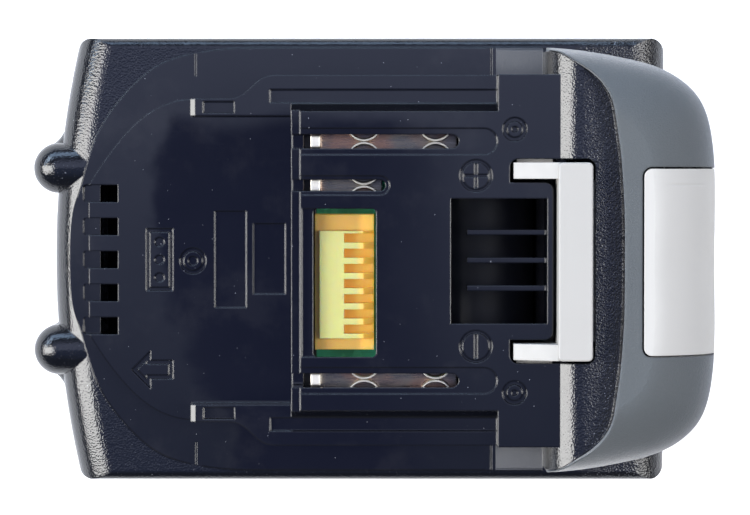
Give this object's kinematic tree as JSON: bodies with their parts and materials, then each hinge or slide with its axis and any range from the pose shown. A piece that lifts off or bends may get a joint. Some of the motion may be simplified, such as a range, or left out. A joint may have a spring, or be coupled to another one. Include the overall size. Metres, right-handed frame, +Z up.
{
  "type": "power tool battery pack",
  "caption": "Slide-on battery pack for cordless tools: boxy case, raised rails and contact plateau, soft rounded front grip, and a hooked release latch with a thumb button.",
  "frame": {"origin": "under the middle of the cell block, on the underside of the base, half a millimetre from the centre of the bounding box", "axes": "+X towards the front grip and thumb button, +Y towards the positive contact, +Z up from the base to the side that faces the tool"},
  "size_m": [0.1152, 0.075, 0.062],
  "materials": {
    "cover_plastic": "gloss black flange, rails and plateau, fine moulded texture on the deck and hump",
    "case_plastic": "fine moulded texture",
    "grip_rubber": "soft matte elastomer, dark grey",
    "latch_plastic": "pale grey, satin",
    "signal_plastic": "amber nylon, satin",
    "contact_plate": "tin plated copper alloy",
    "cell_sleeve": "shrink sleeve, satin",
    "holder_plastic": "matte",
    "insulation": "matte fibre",
    "strip_metal": "nickel",
    "board_laminate": "green solder mask",
    "component_black": "moulded epoxy",
    "capacitor_can": "satin",
    "steel": "zinc plated"
  },
  "bodies": {
    "case": {"upper_cover": "cover_plastic", "lower_case": "case_plastic", "front_grip": "grip_rubber", "connector_housing": "signal_plastic", "positive_terminal": "contact_plate", "negative_terminal": "contact_plate", "signal_terminal": "contact_plate", "connector_pins": "contact_plate", "cell_lower_1": "cell_sleeve", "cell_lower_2": "cell_sleeve", "cell_lower_3": "cell_sleeve", "cell_lower_4": "cell_sleeve", "cell_lower_5": "cell_sleeve", "cell_upper_1": "cell_sleeve", "cell_upper_2": "cell_sleeve", "cell_upper_3": "cell_sleeve", "cell_upper_4": "cell_sleeve", "cell_upper_5": "cell_sleeve", "cell_holder_left": "holder_plastic", "cell_holder_right": "holder_plastic", "latch_base": "holder_plastic", "cell_insulators": "insulation", "insulation_sheet_left": "insulation", "insulation_sheet_right": "insulation", "negative_end_strip": "strip_metal", "bridge_strip_1": "strip_metal", "bridge_strip_2": "strip_metal", "bridge_strip_3": "strip_metal", "bridge_strip_4": "strip_metal", "positive_end_strip": "strip_metal", "circuit_board": "board_laminate", "controller_chip": "component_black", "transistors": "component_black", "thermistor": "component_black", "fuse": "component_black", "capacitors": "capacitor_can", "board_screws": "steel", "case_screws": "steel", "latch_base_screws": "steel", "latch_spring_left": "steel", "latch_spring_right": "steel"},
    "latch": {"release_latch": "latch_plastic"}
  },
  "joints": [
    {"name": "latch_slide", "type": "slide", "parent": "case", "child": "latch", "axis": [0, 0, -1], "range_m": [0, 0.004], "stiffness_N_per_m": 1500, "springref_m": -0.003, "deforming": ["latch_spring_left", "latch_spring_right"]}
  ]
}
